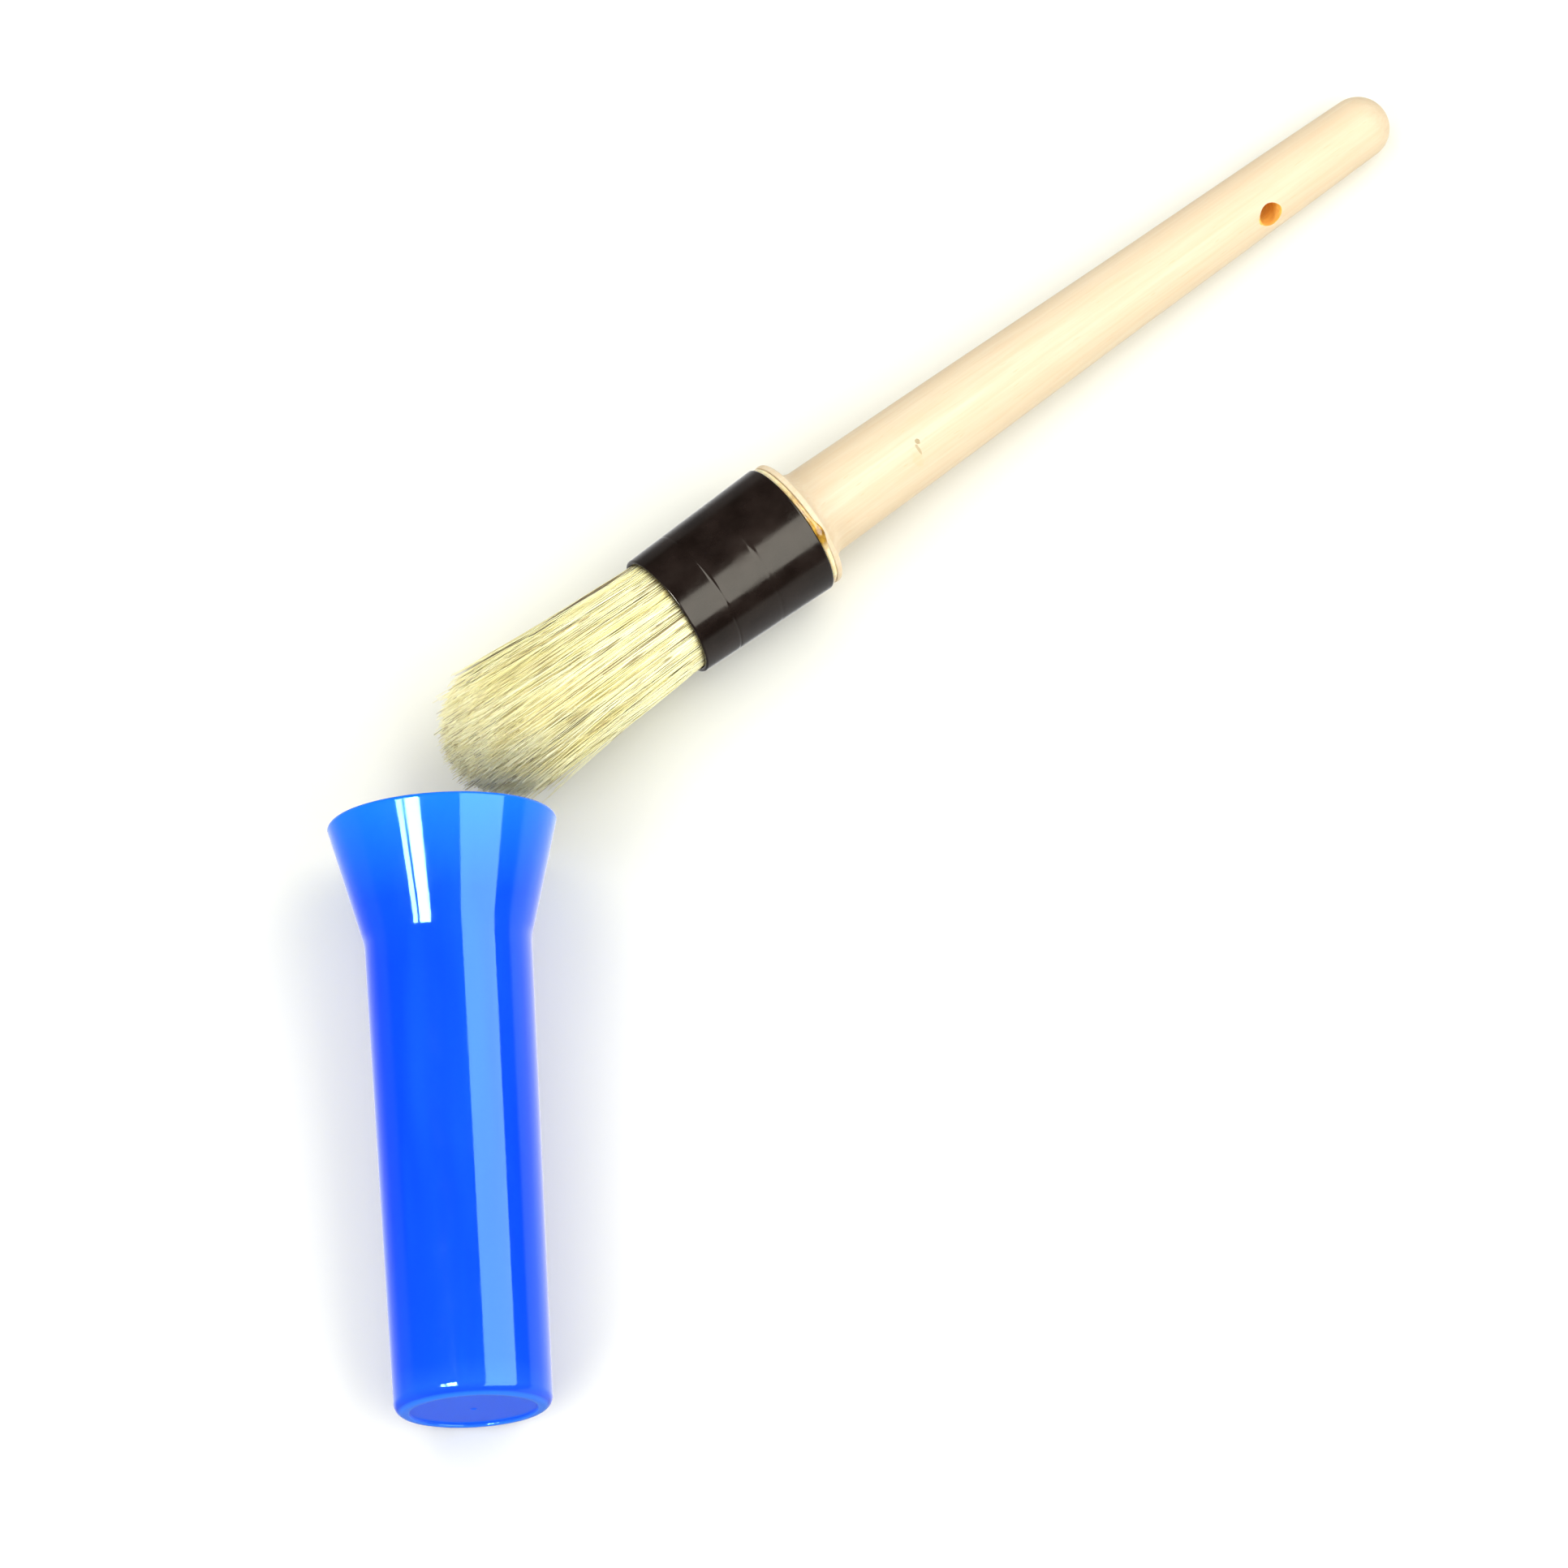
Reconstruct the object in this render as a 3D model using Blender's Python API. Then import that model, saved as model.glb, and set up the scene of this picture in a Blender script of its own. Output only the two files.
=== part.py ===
"""Round natural-bristle brush and its push-on cap, lying side by side on a table.

The brush is a turned wooden handle, a bead of glue, a tapered black ferrule and a domed bristle tuft, with
the resin setting and the core plug that hold the tuft inside the ferrule. The cap is one flared moulding.
Every piece is turned about its own local Z axis. Metres, +Z up, origin under the middle of the whole set.
"""

import math

import bmesh
import bpy
from mathutils import Matrix, Vector

MM = 0.001
GAP = 0.3 * MM  # clearance between neighbouring solids

# Brush, measured along its axis from the bristle tip
BRUSH_LENGTH = 232.0 * MM
TUFT_LENGTH = 51.9 * MM  # the bristles that show
FERRULE_LENGTH = 30.9 * MM
FERRULE_FRONT_R = 13.1 * MM
FERRULE_REAR_R = 14.0 * MM
FERRULE_WALL = 0.9 * MM
FERRULE_LIP = 0.35 * MM  # rounding of the ferrule's two rims
FERRULE_FRONT = TUFT_LENGTH
FERRULE_REAR = FERRULE_FRONT + FERRULE_LENGTH
TUFT_BELLY_R = 13.0 * MM  # the bristles spread a little beyond the ferrule
TUFT_BELLY = 16.0 * MM
PLUG_R = 4.0 * MM
PLUG_FRONT = FERRULE_FRONT + 2.5 * MM
SETTING_FRONT = FERRULE_FRONT + 8.0 * MM
SETTING_REAR = SETTING_FRONT + 9.0 * MM
TENON_FRONT = SETTING_REAR + GAP
BEAD_THICKNESS = 0.6 * MM
BEAD_R = 13.75 * MM
COLLAR_FRONT = FERRULE_REAR + BEAD_THICKNESS + 2 * GAP
COLLAR_R = 13.7 * MM
COLLAR_THICKNESS = 1.3 * MM
NECK_FILLET = 4.0 * MM
NECK_R = 9.15 * MM
HANDLE_END_R = 6.3 * MM
HOLE_FROM_END = 33.0 * MM
HOLE_R = 2.4 * MM
HOLE_TURN = math.radians(52.0)  # how far the hole is turned round the handle from straight up

# Cap, measured along its axis from the closed end
CAP_LENGTH = 118.5 * MM
CAP_MOUTH_R = 22.4 * MM
CAP_THROAT_R = 16.4 * MM  # outside, where the flare meets the tube
CAP_FOOT_R = 15.5 * MM  # outside, at the closed end
CAP_FLARE = 24.2 * MM
CAP_WALL = 1.8 * MM
CAP_FLOOR = 2.0 * MM
CAP_EDGE = 2.3 * MM  # rounding round the closed end
PANEL_R = 12.5 * MM  # the recessed panel in the closed end
PANEL_DEPTH = 0.5 * MM
GATE_R = 0.8 * MM  # dimple left by the moulding gate
GATE_DEPTH = 0.4 * MM

# Layout on the table, seen from above
BRUSH_HEADING = math.radians(34.4)  # from the bristle tip towards the handle's end
CAP_HEADING = math.radians(90.0)  # from the closed end towards the mouth
CROSSING_TO_MOUTH = 10.5 * MM  # from where the two centre lines cross, back to the cap's mouth
CROSSING_TO_TIP = 4.3 * MM  # from there to the bristle tip

ROUND_SEGMENTS = 48
CAP_SEGMENTS = 64

WOOD = ((0.86, 0.70, 0.45), 0.42, 0.0)
FERRULE_BLACK = ((0.020, 0.013, 0.010), 0.22, 0.0)
BRISTLE = ((0.76, 0.68, 0.38), 0.75, 0.0)
RESIN = ((0.36, 0.22, 0.09), 0.45, 0.0)
PLUG_WOOD = ((0.55, 0.40, 0.24), 0.7, 0.0)
GLUE_AMBER = ((0.62, 0.33, 0.05), 0.25, 0.0)
CAP_BLUE = ((0.005, 0.07, 0.92), 0.14, 0.0)


def material(name, look):
    colour, roughness, metallic = look
    made = bpy.data.materials.new(name)
    made.use_nodes = True
    shader = made.node_tree.nodes["Principled BSDF"]
    shader.inputs["Base Color"].default_value = (*colour, 1.0)
    shader.inputs["Roughness"].default_value = roughness
    shader.inputs["Metallic"].default_value = metallic
    return made


def arc(centre_r, centre_z, radius, start_deg, end_deg, steps):
    """Points (r, z) on an arc; 0 degrees points away from the axis and 90 along +Z."""
    angles = (math.radians(start_deg + (end_deg - start_deg) * i / steps) for i in range(steps + 1))
    return [(centre_r + radius * math.cos(a), centre_z + radius * math.sin(a)) for a in angles]


def turned(name, profile, look, segments, closed):
    """A solid of revolution about local Z from points (r, z). An open profile starts and ends on the axis."""
    mesh = bpy.data.meshes.new(name)
    bm = bmesh.new()
    verts = [bm.verts.new((r, 0.0, z)) for r, z in profile]
    edges = [bm.edges.new(pair) for pair in zip(verts, verts[1:])]
    if closed:
        edges.append(bm.edges.new((verts[-1], verts[0])))
    bmesh.ops.spin(
        bm,
        geom=verts + edges,
        cent=(0.0, 0.0, 0.0),
        axis=(0.0, 0.0, 1.0),
        angle=2 * math.pi,
        steps=segments,
        use_merge=True,
    )
    bmesh.ops.remove_doubles(bm, verts=bm.verts, dist=1e-6)
    bmesh.ops.recalc_face_normals(bm, faces=bm.faces)
    bm.to_mesh(mesh)
    bm.free()
    mesh.shade_smooth()
    mesh.set_sharp_from_angle(angle=math.radians(35.0))
    piece = bpy.data.objects.new(name, mesh)
    bpy.context.scene.collection.objects.link(piece)
    mesh.materials.append(material(name, look))
    return piece


def ferrule_outer(z):
    share = (z - FERRULE_FRONT) / FERRULE_LENGTH
    return FERRULE_FRONT_R + (FERRULE_REAR_R - FERRULE_FRONT_R) * share


def ferrule_inner(z):
    return ferrule_outer(z) - FERRULE_WALL


def ferrule():
    """A tapered sleeve with rounded rims."""
    lip = FERRULE_LIP
    profile = arc(FERRULE_FRONT_R - lip, FERRULE_FRONT + lip, lip, -90, 0, 2)
    profile += arc(FERRULE_REAR_R - lip, FERRULE_REAR - lip, lip, 0, 90, 2)
    profile += [(ferrule_inner(FERRULE_REAR), FERRULE_REAR), (ferrule_inner(FERRULE_FRONT), FERRULE_FRONT)]
    return turned("ferrule", profile, FERRULE_BLACK, ROUND_SEGMENTS, closed=True)


def bristle_tuft():
    """The bundle of bristles as one bullet, hollow at the back round the core plug."""
    exit_r = ferrule_inner(FERRULE_FRONT) - GAP
    rear = SETTING_FRONT - GAP
    hollow_r = PLUG_R + GAP
    hollow_front = PLUG_FRONT - GAP
    dome = []
    for i in range(8):
        a = math.radians(90.0 * i / 8)
        dome.append((TUFT_BELLY_R * math.sin(a), TUFT_BELLY * (1 - math.cos(a))))
    taper = FERRULE_FRONT - GAP - TUFT_BELLY
    body = []
    for i in range(5):
        share = i / 5
        body.append((TUFT_BELLY_R - (TUFT_BELLY_R - exit_r) * share**2, TUFT_BELLY + taper * share))
    root = [(exit_r, FERRULE_FRONT - GAP), (exit_r, FERRULE_FRONT + GAP), (exit_r, rear)]
    hollow = [(hollow_r, rear), (hollow_r, hollow_front), (0.0, hollow_front)]
    return turned("bristle_tuft", dome + body + root + hollow, BRISTLE, ROUND_SEGMENTS, closed=False)


def bristle_setting():
    """The resin that binds the bristles' root ends, a ring round the core plug."""
    inner = PLUG_R + GAP
    profile = [
        (inner, SETTING_FRONT),
        (ferrule_inner(SETTING_FRONT) - GAP, SETTING_FRONT),
        (ferrule_inner(SETTING_REAR) - GAP, SETTING_REAR),
        (inner, SETTING_REAR),
    ]
    return turned("bristle_setting", profile, RESIN, ROUND_SEGMENTS, closed=True)


def core_plug():
    """A dowel with a rounded nose that keeps the middle of the tuft open."""
    nose = 1.0 * MM
    profile = [(0.0, PLUG_FRONT)]
    profile += arc(PLUG_R - nose, PLUG_FRONT + nose, nose, -90, 0, 3)
    profile += [(PLUG_R, SETTING_REAR), (0.0, SETTING_REAR)]
    return turned("core_plug", profile, PLUG_WOOD, 24, closed=False)


def glue_bead():
    """Adhesive squeezed out between the ferrule's rear rim and the handle's collar."""
    front = FERRULE_REAR + GAP
    inner = tenon_r(FERRULE_REAR) + GAP
    half = 0.5 * BEAD_THICKNESS
    profile = [(inner, front + 2 * half), (inner, front)]
    profile += arc(BEAD_R - half, front + half, half, -90, 90, 4)
    return turned("glue_bead", profile, GLUE_AMBER, ROUND_SEGMENTS, closed=True)


def tenon_r(z):
    return ferrule_inner(z) - GAP


def handle_profile():
    """Tenon, collar, concave neck fillet, long taper and domed end."""
    chamfer = 0.8 * MM
    edge = 0.5 * MM
    front_r = tenon_r(TENON_FRONT)
    profile = [(0.0, TENON_FRONT), (front_r - chamfer, TENON_FRONT), (front_r, TENON_FRONT + chamfer)]
    profile += [(tenon_r(FERRULE_REAR), FERRULE_REAR), (tenon_r(FERRULE_REAR), COLLAR_FRONT)]
    collar_rear = COLLAR_FRONT + COLLAR_THICKNESS
    profile += [(COLLAR_R, COLLAR_FRONT)]
    profile += arc(COLLAR_R - edge, collar_rear - edge, edge, 0, 90, 3)
    profile += arc(NECK_R + NECK_FILLET, collar_rear + NECK_FILLET, NECK_FILLET, 270, 180, 6)
    neck = collar_rear + NECK_FILLET
    dome = BRUSH_LENGTH - HANDLE_END_R
    stations = 12
    for i in range(1, stations):
        share = i / stations
        profile.append((NECK_R + (HANDLE_END_R - NECK_R) * share, neck + (dome - neck) * share))
    profile += arc(0.0, dome, HANDLE_END_R, 0, 90, 8)[:-1]
    return profile + [(0.0, BRUSH_LENGTH)]


def handle():
    """The turned handle with its hanging hole."""
    piece = turned("handle", handle_profile(), WOOD, ROUND_SEGMENTS, closed=False)
    bpy.ops.mesh.primitive_cylinder_add(vertices=24, radius=HOLE_R, depth=4 * HANDLE_END_R)
    drill = bpy.context.object
    drill.name = "hanging_hole_drill"
    drill.location = (0.0, 0.0, BRUSH_LENGTH - HOLE_FROM_END)
    drill.rotation_euler = (math.radians(90.0), 0.0, HOLE_TURN)
    drill.hide_render = True
    drill.display_type = "WIRE"
    cut = piece.modifiers.new("hanging_hole", "BOOLEAN")
    cut.operation = "DIFFERENCE"
    cut.object = drill
    return piece, drill


def cap_outer(z):
    """Outside radius of the cap's tube, which narrows towards the closed end."""
    share = z / (CAP_LENGTH - CAP_FLARE)
    return CAP_FOOT_R + (CAP_THROAT_R - CAP_FOOT_R) * share


def cap():
    """A drafted tube with a flared mouth, a closed end with a rounded edge, and a recessed end panel."""
    throat = CAP_LENGTH - CAP_FLARE
    lip = 0.5 * CAP_WALL
    inside_foot = cap_outer(0.0) - CAP_WALL
    corner = 1.5 * MM
    profile = [(0.0, PANEL_DEPTH + GATE_DEPTH), (0.6 * GATE_R, PANEL_DEPTH + GATE_DEPTH)]
    profile += [(GATE_R, PANEL_DEPTH), (PANEL_R - 0.4 * MM, PANEL_DEPTH), (PANEL_R, 0.0)]
    profile += arc(CAP_FOOT_R - CAP_EDGE, CAP_EDGE, CAP_EDGE, -90, 0, 6)
    profile += [(cap_outer(throat * i / 4), throat * i / 4) for i in range(1, 4)]
    bend = 1.5 * MM
    flare_slope = (CAP_MOUTH_R - CAP_THROAT_R) / CAP_FLARE
    profile += [
        (cap_outer(throat - bend), throat - bend),
        (cap_outer(throat) + 0.15 * flare_slope * bend, throat),
        (CAP_THROAT_R + flare_slope * bend, throat + bend),
    ]
    profile += arc(CAP_MOUTH_R - lip, CAP_LENGTH - lip, lip, 0, 180, 6)
    profile += [
        (CAP_THROAT_R - CAP_WALL + flare_slope * bend, throat + bend),
        (cap_outer(throat - bend) - CAP_WALL, throat - bend),
    ]
    profile += arc(inside_foot - corner, CAP_FLOOR + corner, corner, 0, -90, 3)
    profile += [(0.0, CAP_FLOOR)]
    return turned("cap", profile, CAP_BLUE, CAP_SEGMENTS, closed=False)


def axes_along(heading, tilt):
    """Rotation whose Z heads along a turned piece's axis, whose Y points up and whose X points left."""
    along = Vector((math.cos(heading) * math.cos(tilt), math.sin(heading) * math.cos(tilt), math.sin(tilt)))
    left = Vector((-math.sin(heading), math.cos(heading), 0.0))
    up = along.cross(left)
    return Matrix((left, up, along)).transposed().to_4x4()


def resting_tilt(near_r, far_r, span):
    """Slope of the axis of a turned piece that lies on two circles, span apart along it."""
    return math.asin((far_r - near_r) / span)


def empty(name, parent, matrix):
    made = bpy.data.objects.new(name, None)
    bpy.context.scene.collection.objects.link(made)
    made.parent = parent
    made.matrix_basis = matrix
    return made


def corners(pieces):
    """Lowest and highest world corner of the pieces."""
    bpy.context.view_layer.update()
    points = [piece.matrix_world @ v.co for piece in pieces for v in piece.data.vertices]
    low = Vector([min(p[i] for p in points) for i in range(3)])
    high = Vector([max(p[i] for p in points) for i in range(3)])
    return low, high


def lay_down(pieces, axis_empty):
    """Puts the pieces on the axis and lowers it until they touch the table."""
    for piece in pieces:
        piece.parent = axis_empty
    low, _ = corners(pieces)
    axis_empty.location.z -= low.z


def place_brush(pieces, drill, crossing):
    """Lays the brush on its ferrule's rear rim and its handle's end, its tip just past the crossing."""
    span = BRUSH_LENGTH - HANDLE_END_R - FERRULE_REAR
    tilt = resting_tilt(FERRULE_REAR_R, HANDLE_END_R, span)
    offset = Vector((math.cos(BRUSH_HEADING), math.sin(BRUSH_HEADING), 0.0)) * CROSSING_TO_TIP
    axis = empty("brush_axis", crossing, Matrix.Translation(offset) @ axes_along(BRUSH_HEADING, tilt))
    lay_down(pieces, axis)
    drill.parent = axis


def place_cap(piece, crossing):
    """Lays the cap on its mouth and its closed end, its mouth towards the crossing that it turns about."""
    tilt = resting_tilt(CAP_FOOT_R, CAP_MOUTH_R, CAP_LENGTH - CAP_EDGE)
    pivot = empty("cap_pivot", crossing, Matrix.Identity(4))
    back = CROSSING_TO_MOUTH + CAP_LENGTH * math.cos(tilt)
    offset = Vector((math.cos(CAP_HEADING), math.sin(CAP_HEADING), 0.0)) * -back
    axis = empty("cap_axis", pivot, Matrix.Translation(offset) @ axes_along(CAP_HEADING, tilt))
    lay_down([piece], axis)


def main():
    for old in list(bpy.data.objects):
        bpy.data.objects.remove(old)
    crossing = empty("centre_lines_cross", None, Matrix.Identity(4))
    handle_piece, drill = handle()
    brush = [handle_piece, ferrule(), bristle_tuft(), bristle_setting(), core_plug(), glue_bead()]
    cap_piece = cap()
    place_brush(brush, drill, crossing)
    place_cap(cap_piece, crossing)
    low, high = corners([*brush, cap_piece])
    crossing.location = (-(low.x + high.x) / 2, -(low.y + high.y) / 2, -low.z)


main()
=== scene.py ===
"""The looks of a round bristle brush and its cap: lacquered beech, black ferrule, separate bristles, amber glue
and translucent blue plastic, under soft studio light on a pale floor. Metres, in the frame of the CAD model."""

import math

import bmesh
import bpy
import numpy as np
from mathutils import Matrix, Vector


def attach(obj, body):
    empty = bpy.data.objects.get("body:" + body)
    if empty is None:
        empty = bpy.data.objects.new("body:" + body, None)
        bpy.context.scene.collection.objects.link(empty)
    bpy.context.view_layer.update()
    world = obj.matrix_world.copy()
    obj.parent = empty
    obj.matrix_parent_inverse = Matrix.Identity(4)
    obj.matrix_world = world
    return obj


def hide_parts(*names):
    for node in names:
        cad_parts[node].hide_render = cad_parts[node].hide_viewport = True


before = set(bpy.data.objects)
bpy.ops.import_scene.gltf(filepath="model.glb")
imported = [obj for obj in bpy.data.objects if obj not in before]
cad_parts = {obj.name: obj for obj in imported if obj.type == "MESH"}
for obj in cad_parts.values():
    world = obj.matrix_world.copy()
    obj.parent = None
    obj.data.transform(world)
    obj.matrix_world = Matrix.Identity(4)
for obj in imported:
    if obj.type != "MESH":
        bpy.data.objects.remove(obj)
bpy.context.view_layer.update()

MM = 0.001

# Sizes that the CAD model has too
FERRULE_WALL = 0.9 * MM
COLLAR_R = 13.7 * MM
COLLAR_GAP = 1.2 * MM  # from the ferrule's rear rim to the collar
COLLAR_THICKNESS = 1.3 * MM
NECK_FILLET = 4.0 * MM
NECK_R = 9.15 * MM
HANDLE_END_R = 6.3 * MM
HOLE_FROM_END = 33.0 * MM
HOLE_R = 2.4 * MM
HOLE_TURN = math.radians(52.0)
TUFT_BELLY_R = 13.0 * MM
TUFT_DOME = 16.0 * MM
CAP_THROAT_R = 16.4 * MM
CAP_FOOT_R = 15.5 * MM
CAP_FLARE = 24.2 * MM
CAP_WALL = 1.8 * MM
CAP_FLOOR = 2.0 * MM
CAP_EDGE = 2.3 * MM
PANEL_R = 12.5 * MM
PANEL_DEPTH = 0.5 * MM

# Sizes that only the looks have
FIT_GAP = 0.3 * MM  # from the ferrule to the tenon inside it
ROOT_DEPTH = 3.0 * MM  # how far into the ferrule the strands reach
SCAR_ALONG = 28.5 * MM  # behind the ferrule
SCAR_TURN = math.radians(21.0)  # from straight up, round to the right
DAB_TURN = math.radians(122.0)  # where the glue's thick dab sits, from local X towards local Y
TUBE_DRAFT = 0.009  # by how much the cap's tube widens for each unit of its length
WELD = 1e-7  # points closer than this are one

# How finely the turned pieces are divided around their axes
FERRULE_SEGMENTS, HANDLE_SEGMENTS, CAP_SEGMENTS = 144, 128, 192
CORE_SEGMENTS, DRILL_SEGMENTS = 96, 48

# Bristles
STRANDS = 7800
STRAND_POINTS = 9
STRAND_SIDES = 3
LAYERS = 3
CLUMPS = 150
STRAND_SEED = 7
GLUE_SEED = 11


# ---------------------------------------------------------------- places, from the frame


def cad_points(node):
    """A CAD node's vertices at rest, as rows."""
    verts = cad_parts[node].data.vertices
    points = np.zeros(len(verts) * 3)
    verts.foreach_get("co", points)
    return points.reshape(-1, 3)


class Axis:
    """The centre line of turned pieces. Local Z runs along it, local Y is up and local X is left."""

    def __init__(self, through, along, node):
        self.along = Vector(along).normalized()
        left = Vector((0.0, 0.0, 1.0)).cross(self.along).normalized()
        up = self.along.cross(left)
        first = ((cad_points(node) - np.array(through)) @ np.array(self.along)).min()
        start = Vector(through) + self.along * first
        turn = Matrix((left, up, self.along)).transposed().to_4x4()
        self.matrix = Matrix.Translation(start) @ turn

    def local(self, node):
        """A node's vertices in the axis's own space, as rows."""
        back = np.array(self.matrix.inverted())
        return cad_points(node) @ back[:3, :3].T + back[:3, 3]

    def span(self, node):
        z = self.local(node)[:, 2]
        return z.min(), z.max()

    def radius(self, node, z, reach=1.0 * MM):
        """The node's largest radius close to a place along the axis."""
        points = self.local(node)
        near = points[abs(points[:, 2] - z) < reach]
        return np.hypot(near[:, 0], near[:, 1]).max()


def cap_axis():
    points = cad_points("cap")
    middle = points.mean(0)
    along = np.linalg.svd(points - middle, full_matrices=False)[2][0]
    return Axis(middle, along * np.sign(along[1]), "cap")


def brush_axis():
    front, rear = cad_points("bristle_tuft").mean(0), cad_points("ferrule").mean(0)
    return Axis(front, rear - front, "bristle_tuft")


BRUSH = brush_axis()
CAP = cap_axis()
FERRULE_FRONT, FERRULE_REAR = BRUSH.span("ferrule")
FERRULE_FRONT_R = BRUSH.radius("ferrule", FERRULE_FRONT)
FERRULE_REAR_R = BRUSH.radius("ferrule", FERRULE_REAR)
TENON_FRONT, HANDLE_END = BRUSH.span("handle")
CAP_LENGTH = CAP.span("cap")[1]
CAP_MOUTH_R = CAP.radius("cap", CAP_LENGTH)
COLLAR_FRONT = FERRULE_REAR + COLLAR_GAP
COLLAR_REAR = COLLAR_FRONT + COLLAR_THICKNESS


# ---------------------------------------------------------------- mesh helpers


def arc(centre_r, centre_z, radius, start_deg, end_deg, steps):
    """Points (r, z) on an arc; 0 degrees points away from the axis and 90 along local Z."""
    angles = [math.radians(start_deg + (end_deg - start_deg) * i / steps) for i in range(steps + 1)]
    return [(centre_r + radius * math.cos(a), centre_z + radius * math.sin(a)) for a in angles]


def fine(profile, step):
    """The profile cut into stretches of about a step, with a support point beside each end of the long ones."""
    points = [profile[0]]
    support = 0.15 * MM
    for (r0, z0), (r1, z1) in zip(profile, profile[1:]):
        length = math.hypot(r1 - r0, z1 - z0)
        parts = max(1, round(length / step))
        shares = [i / parts for i in range(1, parts)]
        if length > 6 * support:
            shares = sorted({support / length, *shares, 1 - support / length})
        points += [(r0 + (r1 - r0) * s, z0 + (z1 - z0) * s) for s in [*shares, 1.0]]
    return points


def link(name, mesh, matrix):
    piece = bpy.data.objects.new(name, mesh)
    bpy.context.scene.collection.objects.link(piece)
    piece.matrix_world = matrix
    return piece


def put_in_order(elements, place):
    """Sorts vertices or faces by where they are, because a weld can leave them in a new order each run."""
    for index, element in enumerate(sorted(elements, key=lambda e: tuple(place(e)))):
        element.index = index
    elements.sort()


def turned(name, profile, axis, segments, closed):
    """A solid of revolution about the axis. An open profile starts and ends on the axis."""
    bm = bmesh.new()
    verts = [bm.verts.new((r, 0.0, z)) for r, z in profile]
    edges = [bm.edges.new(pair) for pair in zip(verts, verts[1:])]
    if closed:
        edges.append(bm.edges.new((verts[-1], verts[0])))
    bmesh.ops.spin(
        bm,
        geom=verts + edges,
        cent=(0.0, 0.0, 0.0),
        axis=(0.0, 0.0, 1.0),
        angle=2 * math.pi,
        steps=segments,
        use_merge=True,
    )
    bmesh.ops.remove_doubles(bm, verts=bm.verts, dist=WELD)
    bmesh.ops.recalc_face_normals(bm, faces=bm.faces)
    put_in_order(bm.verts, lambda v: v.co)
    put_in_order(bm.faces, lambda f: f.calc_center_median())
    mesh = bpy.data.meshes.new(name)
    bm.to_mesh(mesh)
    bm.free()
    mesh.shade_smooth()
    return link(name, mesh, axis.matrix)


def apply_modifiers(piece):
    """Replaces the piece's mesh with the one that its modifiers make."""
    evaluated = piece.evaluated_get(bpy.context.evaluated_depsgraph_get())
    mesh = bpy.data.meshes.new_from_object(evaluated)
    piece.modifiers.clear()
    piece.data = mesh


# ---------------------------------------------------------------- material helpers


class Nodes:
    """A material's node tree, with short ways to add and join nodes."""

    def __init__(self, name):
        self.material = bpy.data.materials.new(name)
        self.material.use_nodes = True
        self.tree = self.material.node_tree
        self.shader = self.tree.nodes["Principled BSDF"]

    def put(self, socket, value):
        """Joins a node's output to a socket, or sets the socket's own value."""
        if isinstance(value, bpy.types.NodeSocket):
            self.tree.links.new(value, socket)
        elif isinstance(value, (tuple, list)) and len(value) == 3 and socket.type == "RGBA":
            socket.default_value = (*value, 1.0)
        else:
            socket.default_value = value

    def principled(self, **values):
        for name, value in values.items():
            self.put(self.shader.inputs[name.replace("_", " ")], value)

    def add(self, kind, settings=None, **values):
        node = self.tree.nodes.new("ShaderNode" + kind)
        for name, value in (settings or {}).items():
            setattr(node, name, value)
        for name, value in values.items():
            self.put(node.inputs[name.replace("_", " ")], value)
        return node

    def place(self, scale=(1.0, 1.0, 1.0), shift=(0.0, 0.0, 0.0)):
        """The piece's own coordinates, in metres, moved by shift and then scaled."""
        moved = self.add("VectorMath", {"operation": "ADD"})
        self.put(moved.inputs[0], self.add("TexCoord").outputs["Object"])
        self.put(moved.inputs[1], shift)
        scaled = self.add("VectorMath", {"operation": "MULTIPLY"})
        self.put(scaled.inputs[0], moved.outputs[0])
        self.put(scaled.inputs[1], scale)
        return scaled.outputs[0]

    def noise(self, where, scale, detail=3.0, roughness=0.5, distortion=0.0):
        node = self.add("TexNoise", Vector=where, Scale=scale, Detail=detail, Roughness=roughness)
        node.inputs["Distortion"].default_value = distortion
        return node.outputs["Fac"]

    def ramp(self, fac, *stops):
        """A colour ramp; each stop is (position, (r, g, b)) or (position, grey)."""
        node = self.add("ValToRGB", Fac=fac)
        while len(node.color_ramp.elements) < len(stops):
            node.color_ramp.elements.new(0.5)
        for element, (position, colour) in zip(node.color_ramp.elements, stops):
            element.position = position
            rgb = colour if isinstance(colour, tuple) else (colour,) * 3
            element.color = (*rgb, 1.0)
        return node.outputs["Color"]

    def mix(self, fac, a, b):
        node = self.add("Mix", {"data_type": "RGBA"})
        for index, value in ((0, fac), (6, a), (7, b)):
            self.put(node.inputs[index], value)
        return node.outputs[2]

    def math(self, operation, a, b):
        node = self.add("Math", {"operation": operation})
        self.put(node.inputs[0], a)
        self.put(node.inputs[1], b)
        return node.outputs[0]

    def bump(self, height, strength, distance, below=None):
        node = self.add("Bump", Height=height, Strength=strength, Distance=distance)
        if below is not None:
            self.put(node.inputs["Normal"], below)
        return node.outputs["Normal"]


def dress(piece, nodes):
    piece.data.materials.clear()
    piece.data.materials.append(nodes.material)


# ---------------------------------------------------------------- materials


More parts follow.
